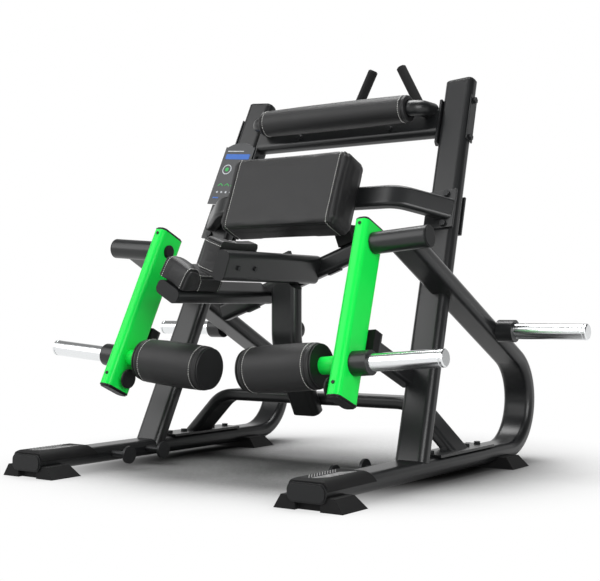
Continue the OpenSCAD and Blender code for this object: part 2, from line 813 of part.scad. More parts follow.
module arm_trim(s) color(plastic_tone) machine() on_side(s) on_arm() {
    for (end = [[arm_up, 0], [-arm_down, 180]]) translate([-arm_in, 0, end[0]]) rotate([end[1], 0, 0]) {
        linear_extrude(cap_t * 0.5) oval(arm_t, arm_w, arm_r);
        linear_extrude(cap_t) oval(arm_t - cap_t, arm_w - cap_t, arm_r - cap_t / 2);
    }
    for (z = [arm_up - 14, 34 - arm_down]) translate([-arm_in, -arm_w / 2, z]) front_view()
        cylinder(h = 2.5, r = 5);
    along_x(arm_inner - 5) cylinder(h = 5, r = shaft_r + 4);
    along_x(arm_inner - 7) cylinder(h = 3, r = shaft_r);
}

module pivot_shaft(s) color(steel_tone) machine() on_side(s) translate([0, 0, pivot_h]) {
    along_x(arm_inner) cylinder(h = housing_end - 10 - arm_inner, r = shaft_r);
    along_x(arm_outer) cylinder(h = housing_x - seat_gap - arm_outer, r = shaft_r + 6);
}

module roller_axle(s) color(green) machine() on_side(s) on_horn() {
    along_x(arm_inner) cylinder(h = arm_t / 2, r = spigot_r);
    along_x(roller_x) cylinder(h = roller_gap, r = axle_r);
    along_x(roller_x - roller_l + disc_t + 6) cylinder(h = roller_l - disc_t - 6, r = pin_r);
}

module band_disc(s) color(plastic_tone) machine() on_side(s) on_arm() translate([0, 0, -peg_drop]) {
    along_x(arm_inner - peg_l - peg_disc_t) cylinder(h = peg_disc_t, r = peg_disc_r - 3);
    along_x(arm_inner - peg_l - peg_disc_t + 2) cylinder(h = peg_disc_t - 4, r = peg_disc_r);
}

module load_collar(s) color(paint) machine() on_side(s) on_horn()
    along_x(arm_outer) ring(collar_l, collar_r, spigot_r);

module load_sleeve(s) color(chrome_tone) machine() on_side(s) on_horn()
    along_x(arm_outer + collar_l) horn(load_l, collar_l + arm_t / 2);

module roller_core(s) color(plastic_tone) machine() on_side(s) on_horn() difference() {
    union() {
        along_x(roller_x - roller_l) cylinder(h = roller_l - 0.5, r = core_r);
        along_x(roller_x - roller_l) cylinder(h = disc_t, r = disc_r);
        along_x(roller_x - disc_t - 0.5) cylinder(h = disc_t, r = disc_r);
    }
    along_x(roller_x - roller_l + disc_t) cylinder(h = roller_l, r = pin_r + run_gap);
}

module roller_pad(s) color(leather_tone) machine() on_side(s) on_horn()
    along_x(roller_x - roller_l + disc_t)
        roller_padding(roller_l - 2 * disc_t - 0.5, roller_r, core_r, 2, 10);

// Knee cradle

module cradle_rail_shape(s, w, t, r, front, rear) on_cradle_rail(s) translate([0, rear, 0]) front_view()
    linear_extrude(rear - front) oval(w, t, r);

module cradle_cross_shape(w, h, r, half) translate([-half, cross_y, cradle_up]) bar(2 * half, h, w, r);

module cradle_rails() color(paint) machine() on_cradle() for (s = [-1, 1]) difference() {
    cradle_rail_shape(s, cradle_rail_w, cradle_rail_t, cradle_rail_r, -cradle_reach, cradle_rear + cross_r);
    cradle_rail_shape(s, cradle_rail_w - 2 * wall, cradle_rail_t - 2 * wall, cradle_rail_r - wall,
        -cradle_reach - 1, cradle_rear + 2 * cross_r);
    cradle_cross_shape(cross_w, cross_h, cross_r, cross_half);
}

module cradle_crossbar() color(paint) machine() on_cradle() {
    difference() {
        cradle_cross_shape(cross_w, cross_h, cross_r, cross_half);
        cradle_cross_shape(cross_w - 2 * wall, cross_h - 2 * wall, cross_r - wall, cross_half + 1);
    }
    flat = cross_w - 2 * cross_r;
    mirrored() translate([lug_x, cross_y - flat / 2, cradle_up - cross_h / 2 - lug_t])
        cube([lug_l, flat, lug_t]);
    translate([-stand_w / 2, cross_y - flat / 2, cradle_up + cross_h / 2]) cube([stand_w, flat, stand_h]);
}

module cradle_pivot() color(paint) machine() on_cradle() difference() {
    union() {
        along_y(hub_front) cylinder(h = hub_l, r = hub_r);
        translate([-web_w / 2, 0, 0]) side_view() linear_extrude(web_w)
            polygon([[hub_front, 0], [hub_end, 0], [hub_end, hub_r], [cross_y + web_t / 2, web_h],
                [cross_y - web_t / 2, web_h], [hub_front, hub_r]]);
    }
    along_y(hub_front - 1) cylinder(h = hub_l + 2, r = cradle_pin_r + run_gap);
    along_y(hub_end) cylinder(h = hub_l, r = cradle_pin_r + 2 * pin_head_t);
}

module cradle_caps() color(plastic_tone) machine() on_cradle() {
    for (s = [-1, 1]) cradle_rail_shape(s, cradle_rail_w, cradle_rail_t, cradle_rail_r,
        -cradle_reach - cap_t * 0.7, -cradle_reach);
    mirrored() translate([cross_half, cross_y, cradle_up]) bar(cap_t * 0.5, cross_h, cross_w, cross_r);
}

module cradle_bolts() color(steel_tone) machine() on_cradle() for (s = [-1, 1]) on_cradle_rail(s)
    for (y = [0.28, 0.72]) translate([0, -cradle_reach + y * knee_l, -cradle_rail_t / 2 - 5])
        cylinder(h = 5, r = 7);

module cradle_blocks() color(rubber_tone) machine() on_cradle() mirrored()
    translate([block_x - block_w / 2, cross_y - cross_w / 2, cradle_up + cross_h / 2])
        cube([block_w, cross_w, block_h]);

module knee_pad(s) color(leather_tone) machine() on_cradle() on_cradle_rail(s)
    translate([s * knee_out, -cradle_reach + knee_l / 2, cradle_rail_t / 2 + seat_gap]) rotate(180)
        cushion(knee_w, knee_l, knee_t, 14, knee_rim, 4, 3, knee_hump, 66);

hoop(-1);  // left_hoop
hoop(1);  // right_hoop
upright(-1);  // left_upright
upright(1);  // right_upright
tube_end_caps();
foot_plates();
rubber_feet();
band_pegs();
pivot_housing(-1);  // left_pivot_housing
pivot_housing(1);  // right_pivot_housing
pivot_bushes();
housing_caps();
cross_arch();
arch_flanges();
arch_bolts();
center_post();
cradle_pin();
top_crossbar();
crossbar_plates();
crossbar_bolts();
top_roller_tube();
top_roller_pad();
handle_bars();
hand_grips();
torso_bracket();
torso_plates();
torso_bolts();
torso_board();
torso_pad();
placard();
storage_collars();
storage_sleeves();
stop_struts();
stop_bumpers();
arm_tube(-1);  // left_arm_tube
arm_trim(-1);  // left_arm_trim
pivot_shaft(-1);  // left_pivot_shaft
roller_axle(-1);  // left_roller_axle
band_disc(-1);  // left_band_disc
load_collar(-1);  // left_load_collar
load_sleeve(-1);  // left_load_sleeve
roller_core(-1);  // left_roller_core
roller_pad(-1);  // left_roller_pad
arm_tube(1);  // right_arm_tube
arm_trim(1);  // right_arm_trim
pivot_shaft(1);  // right_pivot_shaft
roller_axle(1);  // right_roller_axle
band_disc(1);  // right_band_disc
load_collar(1);  // right_load_collar
load_sleeve(1);  // right_load_sleeve
roller_core(1);  // right_roller_core
roller_pad(1);  // right_roller_pad
cradle_rails();
cradle_crossbar();
cradle_pivot();
cradle_caps();
cradle_bolts();
cradle_blocks();
knee_pad(-1);  // left_knee_pad
knee_pad(1);  // right_knee_pad
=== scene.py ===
import json
import math

import bmesh
import bpy
from bpy.props import FloatProperty, FloatVectorProperty, PointerProperty
from mathutils import Matrix, Vector


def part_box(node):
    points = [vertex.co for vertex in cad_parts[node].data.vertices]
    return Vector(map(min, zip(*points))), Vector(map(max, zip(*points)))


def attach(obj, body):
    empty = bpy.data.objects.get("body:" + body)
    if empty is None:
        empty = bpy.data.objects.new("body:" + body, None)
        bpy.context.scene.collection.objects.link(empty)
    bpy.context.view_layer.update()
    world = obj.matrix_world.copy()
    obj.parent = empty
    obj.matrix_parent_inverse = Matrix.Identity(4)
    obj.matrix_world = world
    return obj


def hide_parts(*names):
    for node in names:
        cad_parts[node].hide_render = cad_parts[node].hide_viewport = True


bl_info = {
    "name": "Leg Curl Machine",
    "version": (1, 0, 0),
    "blender": (4, 5, 0),
    "location": "3D View > Sidebar > Machine",
    "description": "Finishes the frame of a plate-loaded leg curl machine and upholsters its pads",
    "category": "Object",
}

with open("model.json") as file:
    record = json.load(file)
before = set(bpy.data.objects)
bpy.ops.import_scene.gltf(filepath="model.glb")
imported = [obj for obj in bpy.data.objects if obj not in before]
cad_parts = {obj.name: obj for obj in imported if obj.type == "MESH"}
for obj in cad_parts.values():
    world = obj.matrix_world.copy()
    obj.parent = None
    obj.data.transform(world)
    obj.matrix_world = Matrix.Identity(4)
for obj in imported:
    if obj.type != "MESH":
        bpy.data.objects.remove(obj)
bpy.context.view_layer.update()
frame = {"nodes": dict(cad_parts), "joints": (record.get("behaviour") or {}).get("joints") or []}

COATED = (
    "left_hoop", "right_hoop", "left_upright", "right_upright", "left_pivot_housing", "right_pivot_housing",
    "cross_arch", "arch_flanges", "center_post", "top_crossbar", "crossbar_plates", "top_roller_tube",
    "handle_bars", "torso_bracket", "torso_plates", "storage_collars", "stop_struts", "left_load_collar",
    "right_load_collar", "cradle_rails", "cradle_crossbar", "cradle_pivot",
)
ENAMELLED = ("left_arm_tube", "right_arm_tube", "left_roller_axle", "right_roller_axle")
CHROMED = ("storage_sleeves", "left_load_sleeve", "right_load_sleeve")
BLACKENED = ("band_pegs", "arch_bolts", "crossbar_bolts", "torso_bolts", "cradle_bolts")
GROUND_STEEL = ("pivot_bushes", "cradle_pin", "left_pivot_shaft", "right_pivot_shaft")
MOULDED = (
    "tube_end_caps", "housing_caps", "left_arm_trim", "right_arm_trim", "left_band_disc", "right_band_disc",
    "left_roller_core", "right_roller_core", "cradle_caps", "torso_board",
)
RUBBER = ("foot_plates", "rubber_feet", "hand_grips", "stop_bumpers", "cradle_blocks")

# Lean of the uprights, tilt of the side frames, and set of the pads, as the frame has them
UPRIGHT_LEAN = math.radians(23)
SIDE_TILT = math.radians(4.6)
TORSO_LEAN = math.radians(22)
CRADLE_TILT = math.radians(20)
CRADLE_VEE = math.radians(50)

# From this share of a direction in its normal on, a point of a pad counts as facing that way
FACING = 0.7

# Pressure and number of frames of the pads' cloth simulation
SWELL_PRESSURE = 4
SWELL_FRAMES = 20

# Name, place and width of each lamp, and the point that they face
LAMPS = (("key", (-2.5, -3.1, 2.9), 3.6), ("fill", (3.4, -2.4, 1.7), 2.4), ("top", (-0.3, 0.7, 4.0), 2.4))
LIT_POINT = (0, 0, 0.6)

# The point that the floor fades away from, and its size
FLOOR_MIDDLE = (0, 0.2, 0)
FLOOR_RADIUS = 30


def tone(code):
    """A linear colour from a hexadecimal screen colour."""
    parts = [int(code[i:i + 2], 16) / 255 for i in (0, 2, 4)]
    return [p / 12.92 if p <= 0.04045 else ((p + 0.055) / 1.055) ** 2.4 for p in parts]


def scaled(tint, share):
    """A colour made lighter or darker."""
    return [share * part for part in tint]


def colour(name, code):
    """A colour that a user can change."""
    return FloatVectorProperty(name=name, description=f"Colour of the {name.lower()}", subtype="COLOR",
                               size=3, min=0, max=1, default=tone(code))


def length(name, description, default):
    """A length in metres that a user can change."""
    return FloatProperty(name=name, description=description, subtype="DISTANCE", unit="LENGTH",
                         default=default, min=0, precision=4)


def angle(name, description, degrees):
    """An angle that a user can change."""
    return FloatProperty(name=name, description=description, subtype="ANGLE", default=math.radians(degrees))


class MachineColours(bpy.types.PropertyGroup):
    """Colours of the finishes."""

    coat: colour("Powder coat", "151617")
    coat_light: colour("Powder coat, lighter flecks", "1f2021")
    enamel: colour("Arm enamel", "16ee54")
    enamel_deep: colour("Arm enamel, deeper patches", "12e44c")
    chrome: colour("Chrome", "eceeef")
    leather: colour("Pad cover", "121213")
    leather_worn: colour("Pad cover, rubbed grain", "1e1e1f")
    thread: colour("Stitching thread", "e4e4e0")
    rubber: colour("Rubber", "0f0f10")
    rubber_dust: colour("Rubber, dusty", "1a1a1a")
    # Painted highlight: the light grey of the tread ribs stands in for the light that they catch
    rib_highlight: colour("Rubber, ribs with painted highlight", "a8a8a8")
    plastic: colour("Moulded plastic", "0f1011")
    oxide: colour("Blackened bolts", "232425")
    steel: colour("Ground steel", "a9acae")
    plate: colour("Placard", "0f1216")
    band: colour("Placard band", "2d62b4")
    mark: colour("Placard marks", "c3c8cc")
    accent: colour("Placard accents", "2aa24a")
    floor: colour("Floor", "d8d8d8")


class MachineSizes(bpy.types.PropertyGroup):
    """Sizes of seams, grain and print."""

    stitch_pitch: length("Stitch pitch", "Distance from one stitch to the next", 0.0064)
    stitch_length: length("Stitch length", "Length of one stitch", 0.0044)
    stitch_width: length("Stitch width", "Width of the thread", 0.0019)
    stitch_offset: length("Stitch offset", "Distance of the stitches from their seam", 0.007)
    seam_depth: length("Seam depth", "How deep a seam draws the cover in", 0.0045)
    seam_width: length("Seam width", "Half the width of the fold along a seam", 0.005)
    torso_seam: length("Torso seam", "Distance of the seam from each end of the torso pad", 0.026)
    roller_seam: length("Ankle roller seam", "Distance of the seam from each end of an ankle roller", 0.017)
    top_seam: length("Top roller seam", "Distance of the seam from each end of the top roller", 0.014)
    knee_seam: length("Knee pad seam", "Distance of the seams from the edges of a knee pad", 0.01)
    knee_roll: length("Knee pad roll", "Distance of the seam behind a knee pad's roll from its front", 0.066)
    voxel: length("Pad mesh", "Size of the pads' mesh before it is subdivided", 0.005)
    swelling: length("Pad swelling", "Farthest that a pad's cover swells", 0.0026)
    firmness: FloatProperty(name="Torso pad firmness", description="How flat the torso pad's sides are",
                            subtype="FACTOR", default=0.75, min=0, max=1)
    grain: length("Leather grain", "Size of one pebble of the pad cover's grain", 0.0013)
    peel: length("Coat texture", "Size of the powder coat's orange peel", 0.0011)
    edge: length("Edge rounding", "Radius that catches light along sharp edges", 0.0016)
    rib_width: length("Tread rib width", "Width of one rib on a foot plate", 0.003)
    rib_pitch: length("Tread rib pitch", "Distance between the ribs on a foot plate", 0.012)
    rib_height: length("Tread rib height", "Height of one rib on a foot plate", 0.0016)
    rib_slant: angle("Tread rib slant", "Turn of the ribs from straight across a foot plate", 57)
    rib_front: length("Tread front margin", "Distance of the first ribs from a foot plate's front", 0.035)
    rib_rear: length("Tread rear margin", "Distance of the last ribs from a foot plate's rear", 0.075)
    print_height: length("Print height", "How far the placard's print stands proud", 0.0004)


class MachineShot(bpy.types.PropertyGroup):
    """Where the camera stands and how bright the lamps are."""

    place: FloatVectorProperty(name="Camera", description="Where the camera stands", subtype="XYZ",
                               unit="LENGTH", default=(2.1436, -3.0237, 0.4976))
    heading: angle("Heading", "Turn of the camera about the vertical", 34.85)
    pitch: angle("Pitch", "How far the camera looks up", 0.92)
    lens: FloatProperty(name="Lens", description="Focal length for a 36 mm wide sensor",
                        subtype="DISTANCE_CAMERA", unit="CAMERA", default=70.34)
    key: FloatProperty(name="Key lamp", description="Power of the key lamp", subtype="POWER", default=110)
    fill: FloatProperty(name="Fill lamp", description="Power of the fill lamp", subtype="POWER", default=110)
    top: FloatProperty(name="Top lamp", description="Power of the top lamp", subtype="POWER", default=170)
    ambient: FloatProperty(name="Ambient", description="Strength of the even light around", default=0.12)
    shadow_reach: length("Shadow reach", "How far from the machine the floor is darkened", 0.65)
    fade_start: length("Fade start", "Distance from the machine's middle where the floor starts to fade", 0.5)
    fade_end: length("Fade end", "Distance from the machine's middle where the floor is white", 1.2)


class Socket:
    """A node's output, which arithmetic turns into Math nodes."""

    def __init__(self, tree, output):
        self.tree = tree
        self.output = output

    def math(self, operation, first, second):
        """The result of a Math node."""
        node = self.tree.nodes.new("ShaderNodeMath")
        node.operation = operation
        plug(self.tree, node.inputs[0], first)
        plug(self.tree, node.inputs[1], second)
        return Socket(self.tree, node.outputs[0])

    def __add__(self, other):
        return self.math("ADD", self, other)

    def __radd__(self, other):
        return self.math("ADD", other, self)

    def __sub__(self, other):
        return self.math("SUBTRACT", self, other)

    def __rsub__(self, other):
        return self.math("SUBTRACT", other, self)

    def __mul__(self, other):
        return self.math("MULTIPLY", self, other)

    def __rmul__(self, other):
        return self.math("MULTIPLY", other, self)

    def least(self, other):
        """The smaller of two values."""
        return self.math("MINIMUM", self, other)

    def most(self, other):
        """The larger of two values."""
        return self.math("MAXIMUM", self, other)


def plug(tree, place, value):
    """Links a socket, or sets a number or colour on it."""
    if isinstance(value, Socket):
        tree.links.new(value.output, place)
    elif place.type == "RGBA" and len(value) == 3:
        place.default_value = (*value, 1)
    else:
        place.default_value = value


class Finish:
    """A node tree under construction, of a material or of the world."""

    def __init__(self, tree):
        self.tree = tree
        tree.nodes.clear()

    def node(self, kind, settings=None, sockets=None, output=0):
        """Adds a node, sets it, links its inputs and gives back one of its outputs."""
        made = self.tree.nodes.new("ShaderNode" + kind)
        for name, value in (settings or {}).items():
            setattr(made, name, value)
        for name, value in (sockets or {}).items():
            plug(self.tree, made.inputs[name], value)
        return None if output is None else Socket(self.tree, made.outputs[output])

    def place(self):
        """The place on the object, in metres."""
        return self.node("TexCoord", output="Object")

    def noise(self, size, detail=2.0, stretch=(1, 1, 1)):
        """Cloudy noise with lumps of a size."""
        spread = self.node("Mapping", None, {"Vector": self.place(), "Scale": stretch})
        return self.node("TexNoise", None, {"Vector": spread, "Scale": 1 / size, "Detail": detail}, "Fac")

    def cells(self, size, feature="F1"):
        """Cells of a size, as the distance from their middles or edges."""
        return self.node("TexVoronoi", {"feature": feature}, {"Vector": self.place(), "Scale": 1 / size},
                         "Distance")

    def mix(self, share, first, second):
        """A colour between two others."""
        ends = {0: share, 6: (*first, 1), 7: (*second, 1)}
        return self.node("Mix", {"data_type": "RGBA"}, ends, 2)

    def ramp(self, value, start, end, first, last):
        """Eases from one number to another while a value goes from its start to its end."""
        sockets = {"Value": value, "From Min": start, "From Max": end, "To Min": first, "To Max": last}
        return self.node("MapRange", {"interpolation_type": "SMOOTHSTEP"}, sockets)

    def rounded(self, radius):
        """A normal that is rounded along sharp edges."""
        return self.node("Bevel", {"samples": 6}, {"Radius": radius})

    def bump(self, height, depth, strength=1.0, under=None):
        """A normal that shows a height, over another normal if there is one."""
        sockets = {"Height": height, "Distance": depth, "Strength": strength}
        if under:
            sockets["Normal"] = under
        return self.node("Bump", None, sockets)

    def surface(self, sockets):
        """The finished surface."""
        shader = self.node("BsdfPrincipled", None, sockets, "BSDF")
        self.node("OutputMaterial", None, {"Surface": shader}, None)


def finish(name):
    """A new material and its empty node tree."""
    material = bpy.data.materials.new(name)
    material.use_nodes = True
    return material, Finish(material.node_tree)


def powder_coat(colours, sizes):
    """Satin graphite powder coat with a fine orange peel."""
    material, coat = finish("powder_coat")
    peel = coat.noise(sizes.peel, 3)
    drift = coat.noise(0.22, 3)
    shade = coat.mix(0.45 * peel + 0.35 * drift, colours.coat, colours.coat_light)
    normal = coat.bump(peel, sizes.peel * 0.06, 0.2, coat.rounded(sizes.edge))
    coat.surface({"Base Color": shade, "Roughness": 0.26 + 0.1 * peel, "Specular IOR Level": 0.44,
                  "Normal": normal})
    return material


def arm_enamel(colours, sizes):
    """Bright gloss enamel of the arms."""
    material, enamel = finish("arm_enamel")
    peel = enamel.noise(sizes.peel * 4, 2)
    drift = enamel.noise(0.12, 3)
    shade = enamel.mix(drift, colours.enamel, colours.enamel_deep)
    normal = enamel.bump(peel, sizes.peel * 0.1, 0.25, enamel.rounded(sizes.edge))
    enamel.surface({"Base Color": shade, "Roughness": 0.3 + 0.08 * drift, "Specular IOR Level": 0.2,
                    "Coat Weight": 0.06, "Coat Roughness": 0.12, "Normal": normal})
    return material


def chrome_plate(colours, sizes):
    """Polished chrome with faint turning marks and finger marks."""
    material, chrome = finish("chrome_plate")
    turned = chrome.noise(0.0009, 2, (6, 0.2, 0.2))
    smear = chrome.noise(0.03, 4)
    shade = chrome.mix(0.35 * smear, colours.chrome, scaled(colours.chrome, 0.86))
    chrome.surface({"Base Color": shade, "Metallic": 1.0, "Roughness": 0.13 + 0.05 * turned + 0.06 * smear,
                    "Normal": chrome.bump(turned, 0.00003, 0.2, chrome.rounded(sizes.edge))})
    return material


def pad_leather(colours, sizes):
    """Black synthetic leather with a pebbled grain."""
    material, leather = finish("pad_leather")
    pebble = leather.cells(sizes.grain, "DISTANCE_TO_EDGE").least(0.22) * 4.5
    fine = leather.noise(sizes.grain * 0.5, 3)
    wear = leather.noise(0.06, 4)
    shade = leather.mix(0.5 * pebble * wear, colours.leather, colours.leather_worn)
    height = 0.75 * pebble + 0.25 * fine
    leather.surface({"Base Color": shade, "Roughness": 0.5 - 0.12 * pebble + 0.12 * wear,
                     "Specular IOR Level": 0.42, "Normal": leather.bump(height, sizes.grain * 0.14, 0.45)})
    return material


def thread_twist(colours, sizes):
    """Light thread of the stitching."""
    material, thread = finish("thread_twist")
    ply = thread.noise(sizes.stitch_width * 0.4, 2)
    shade = thread.mix(ply, colours.thread, scaled(colours.thread, 0.72))
    thread.surface({"Base Color": shade, "Roughness": 0.7 + 0.1 * ply,
                    "Normal": thread.bump(ply, sizes.stitch_width * 0.2, 0.5)})
    return material


def black_rubber(colours, sizes):
    """Matt rubber with a faint dusty bloom."""
    material, rubber = finish("black_rubber")
    pore = rubber.noise(0.0007, 2)
    dust = rubber.noise(0.035, 5)
    shade = rubber.mix(dust * dust, colours.rubber, colours.rubber_dust)
    rubber.surface({"Base Color": shade, "Roughness": 0.6 + 0.15 * dust, "Specular IOR Level": 0.22,
                    "Normal": rubber.bump(pore, 0.0001, 0.4, rubber.rounded(sizes.edge * 1.6))})
    return material


def worn_rubber(colours, sizes):
    """Tread ribs, coloured light grey as a painted highlight, in patches that vary at random, and smooth."""
    material, rubber = finish("worn_rubber")
    scuff_and_highlight = rubber.noise(0.02, 4)
    # Painted highlight: the ribs' light grey stands in for light caught along them, mixed at random with
    # dusty dark rubber
    shade = rubber.mix(scuff_and_highlight, colours.rib_highlight, colours.rubber_dust)
    rubber.surface({"Base Color": shade, "Roughness": 0.35 + 0.2 * scuff_and_highlight, "Specular IOR Level": 0.5,
                    "Normal": rubber.bump(scuff_and_highlight, 0.0002, 0.3)})
    return material


def moulded_plastic(colours, sizes):
    """Black moulded plastic with a spark-eroded texture."""
    material, plastic = finish("moulded_plastic")
    spark = plastic.cells(0.0008)
    drift = plastic.noise(0.05, 3)
    shade = plastic.mix(0.6 * drift, colours.plastic, scaled(colours.plastic, 1.5))
    plastic.surface({"Base Color": shade, "Roughness": 0.42 + 0.12 * spark, "Specular IOR Level": 0.3,
                     "Normal": plastic.bump(spark, 0.00008, 0.35, plastic.rounded(sizes.edge))})
    return material


def black_oxide(colours, sizes):
    """Blackened bolts and pegs."""
    material, oxide = finish("black_oxide")
    bloom = oxide.noise(0.004, 4)
    shade = oxide.mix(bloom, colours.oxide, scaled(colours.oxide, 1.7))
    oxide.surface({"Base Color": shade, "Metallic": 0.55, "Roughness": 0.34 + 0.14 * bloom,
                   "Normal": oxide.bump(bloom, 0.00006, 0.3, oxide.rounded(sizes.edge * 0.6))})
    return material


def ground_steel(colours, sizes):
    """Ground shafts, pins and bushes."""
    material, steel = finish("ground_steel")
    lines = steel.noise(0.0006, 2, (8, 0.3, 0.3))
    shade = steel.mix(0.5 * lines, colours.steel, scaled(colours.steel, 0.7))
    steel.surface({"Base Color": shade, "Metallic": 1.0, "Roughness": 0.22 + 0.12 * lines,
                   "Normal": steel.bump(lines, 0.00004, 0.3, steel.rounded(sizes.edge * 0.6))})
    return material


def placard_sheet(colours, sizes):
    """Dark laminate of the placard."""
    material, sheet = finish("placard_sheet")
    film = sheet.noise(0.0012, 2)
    drift = sheet.noise(0.09, 2)
    shade = sheet.mix(drift, colours.plate, scaled(colours.plate, 1.35))
    sheet.surface({"Base Color": shade, "Roughness": 0.3 + 0.1 * film, "Coat Weight": 0.2,
                   "Normal": sheet.bump(film, 0.00003, 0.3, sheet.rounded(sizes.edge))})
    return material


def print_ink(name, ink_colour):
    """Screen-printed ink, with a slight grain in its cover."""
    material, ink = finish(name)
    grain = ink.noise(0.0009, 3)
    shade = ink.mix(0.5 * grain, ink_colour, scaled(ink_colour, 0.8))
    ink.surface({"Base Color": shade, "Roughness": 0.42 + 0.1 * grain,
                 "Normal": ink.bump(grain, 0.00003, 0.2)})
    return material


def cover_nodes(names, material):
    """Gives CAD nodes a finish."""
    for name in names:
        node = frame["nodes"][name]
        if not node.material_slots:
            node.data.materials.append(material)
        for place in node.material_slots:
            place.material = material


def work_on(piece):
    """Makes a piece the only selected and active one."""
    bpy.ops.object.select_all(action="DESELECT")
    piece.select_set(True)
    bpy.context.view_layer.objects.active = piece


def new_piece(name, mesh, material, body):
    """A named mesh object that rides on a body."""
    piece = bpy.data.objects.new(name, mesh)
    bpy.context.scene.collection.objects.link(piece)
    mesh.materials.clear()
    mesh.materials.append(material)
    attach(piece, body)
    return piece


def apply_modifier(piece, kind, **settings):
    """Adds a modifier, sets it and applies it."""
    modifier = piece.modifiers.new(kind.title(), kind)
    for name, value in settings.items():
        setattr(modifier, name, value)
    bpy.ops.object.modifier_apply(modifier=modifier.name)


def soft_copy(node, name, sizes):
    """An evenly meshed copy of a CAD cushion, a little smaller than it, so that it has room to swell."""
    mesh = frame["nodes"][node].data.copy()
    pad = bpy.data.objects.new(name, mesh)
    bpy.context.scene.collection.objects.link(pad)
    work_on(pad)
    bpy.ops.object.mode_set(mode="EDIT")
    bpy.ops.mesh.select_all(action="SELECT")
    bpy.ops.mesh.remove_doubles(threshold=0.00002)
    bpy.ops.object.mode_set(mode="OBJECT")
    mesh.remesh_voxel_size = sizes.voxel
    bpy.ops.object.voxel_remesh()
    apply_modifier(pad, "DISPLACE", strength=-0.6 * sizes.swelling, mid_level=0)
    apply_modifier(pad, "SMOOTH", factor=0.5, iterations=2)
    return pad


def swell(pad, resting, sizes):
    """Blows the cover up with cloth. It only grows, and points that rest on something stay where they are."""
    start = [point.co.copy() for point in pad.data.vertices]
    facing = [point.normal.copy() for point in pad.data.vertices]
    group = pad.vertex_groups.new(name="resting")
    group.add([i for i, place in enumerate(start) if resting(place)], 1.0, "REPLACE")
    cloth = pad.modifiers.new("Cloth", "CLOTH")
    cloth.settings.quality = 4
    cloth.settings.use_pressure = True
    cloth.settings.uniform_pressure_force = SWELL_PRESSURE
    cloth.settings.effector_weights.gravity = 0
    cloth.settings.vertex_group_mass = group.name
    cloth.point_cache.frame_end = SWELL_FRAMES
    for step in range(1, SWELL_FRAMES + 1):
        bpy.context.scene.frame_set(step)
    bpy.ops.object.modifier_apply(modifier=cloth.name)
    bpy.context.scene.frame_set(1)
    for point, place, out in zip(pad.data.vertices, start, facing):
        growth = (point.co - place).dot(out)
        point.co = place + out * min(max(growth, 0), sizes.swelling)
    pad.vertex_groups.clear()


def upholster(node, name, resting, body, leather, sizes):
    """A stuffed cushion in the place of a CAD one."""
    pad = soft_copy(node, name, sizes)
    swell(pad, resting, sizes)
    apply_modifier(pad, "SMOOTH", factor=0.5, iterations=2)
    apply_modifier(pad, "SUBSURF", levels=1, render_levels=1)
    pad.data.materials.clear()
    pad.data.materials.append(leather)
    bpy.ops.object.shade_smooth()
    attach(pad, body)
    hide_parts(node)
    return pad


def fill_out(pad, outward, share):
    """Stuffs a pad firmly: its sides come out flatter, towards their highest point."""
    for out in outward:
        facing = [vertex.normal.dot(out) for vertex in pad.data.vertices]
        top = max(vertex.co.dot(out) for vertex in pad.data.vertices)
        for vertex, turn in zip(pad.data.vertices, facing):
            ease = min(max((turn - FACING) / 0.2, 0), 1)
            vertex.co += out * share * ease * (top - vertex.co.dot(out))


def draw_in(pad, point, normal, outward, sizes):
    """Draws the cover in along a seam, where a plane crosses it."""
    work_on(pad)
    bpy.ops.object.mode_set(mode="EDIT")
    for share in (-1, -0.5, 0, 0.5, 1):
        bpy.ops.mesh.select_all(action="SELECT")
        bpy.ops.mesh.bisect(plane_co=point + normal * share * sizes.seam_width, plane_no=normal)
    bpy.ops.object.mode_set(mode="OBJECT")
    facing = [vertex.normal.copy() for vertex in pad.data.vertices]
    for vertex, out in zip(pad.data.vertices, facing):
        share = abs((vertex.co - point).dot(normal)) / sizes.seam_width
        if share < 0.99 and outward(vertex.co, out):
            vertex.co -= out * sizes.seam_depth * (1 - share) ** 1.5


def section(pad, point, normal):
    """The longest closed line in which a plane crosses a pad, as points and their normals."""
    shape = bmesh.new()
    shape.from_mesh(pad.data)
    cut = bmesh.ops.bisect_plane(shape, geom=shape.verts[:] + shape.edges[:] + shape.faces[:],
                                 plane_co=point, plane_no=normal)["geom_cut"]
    shape.normal_update()
    edges = dict.fromkeys(part for part in cut if isinstance(part, bmesh.types.BMEdge))
    loops = []
    while edges:
        edge = edges.popitem()[0]
        loop = [edge.verts[0], edge.verts[1]]
        while True:
            onward = next((e for e in loop[-1].link_edges if e in edges), None)
            if onward is None:
                break
            del edges[onward]
            loop.append(onward.other_vert(loop[-1]))
        loops.append([(vertex.co.copy(), vertex.normal.copy()) for vertex in loop])
    shape.free()
    return max(loops, key=lambda line: sum((a[0] - b[0]).length for a, b in zip(line, line[1:])))


def along(line, pitch):
    """Points, directions and normals at even steps along a line."""
    spots = []
    travelled = 0.0
    for (here, up), (there, _) in zip(line, line[1:]):
        step = there - here
        while step.length > 0 and travelled < step.length:
            spots.append((here + step * (travelled / step.length), step.normalized(), up))
            travelled += pitch
        travelled -= step.length
    return spots


def one_stitch(sizes):
    """The mesh of a single stitch, lying along X."""
    bpy.ops.object.select_all(action="DESELECT")
    bpy.ops.mesh.primitive_uv_sphere_add(segments=8, ring_count=6, radius=0.5, rotation=(0, math.pi / 2, 0))
    stitch = bpy.context.object
    stitch.scale = (sizes.stitch_width * 0.9, sizes.stitch_width, sizes.stitch_length)
    bpy.ops.object.transform_apply(location=False, rotation=True, scale=True)
    bpy.ops.object.shade_smooth()
    mesh = stitch.data
    bpy.data.objects.remove(stitch)
    return mesh


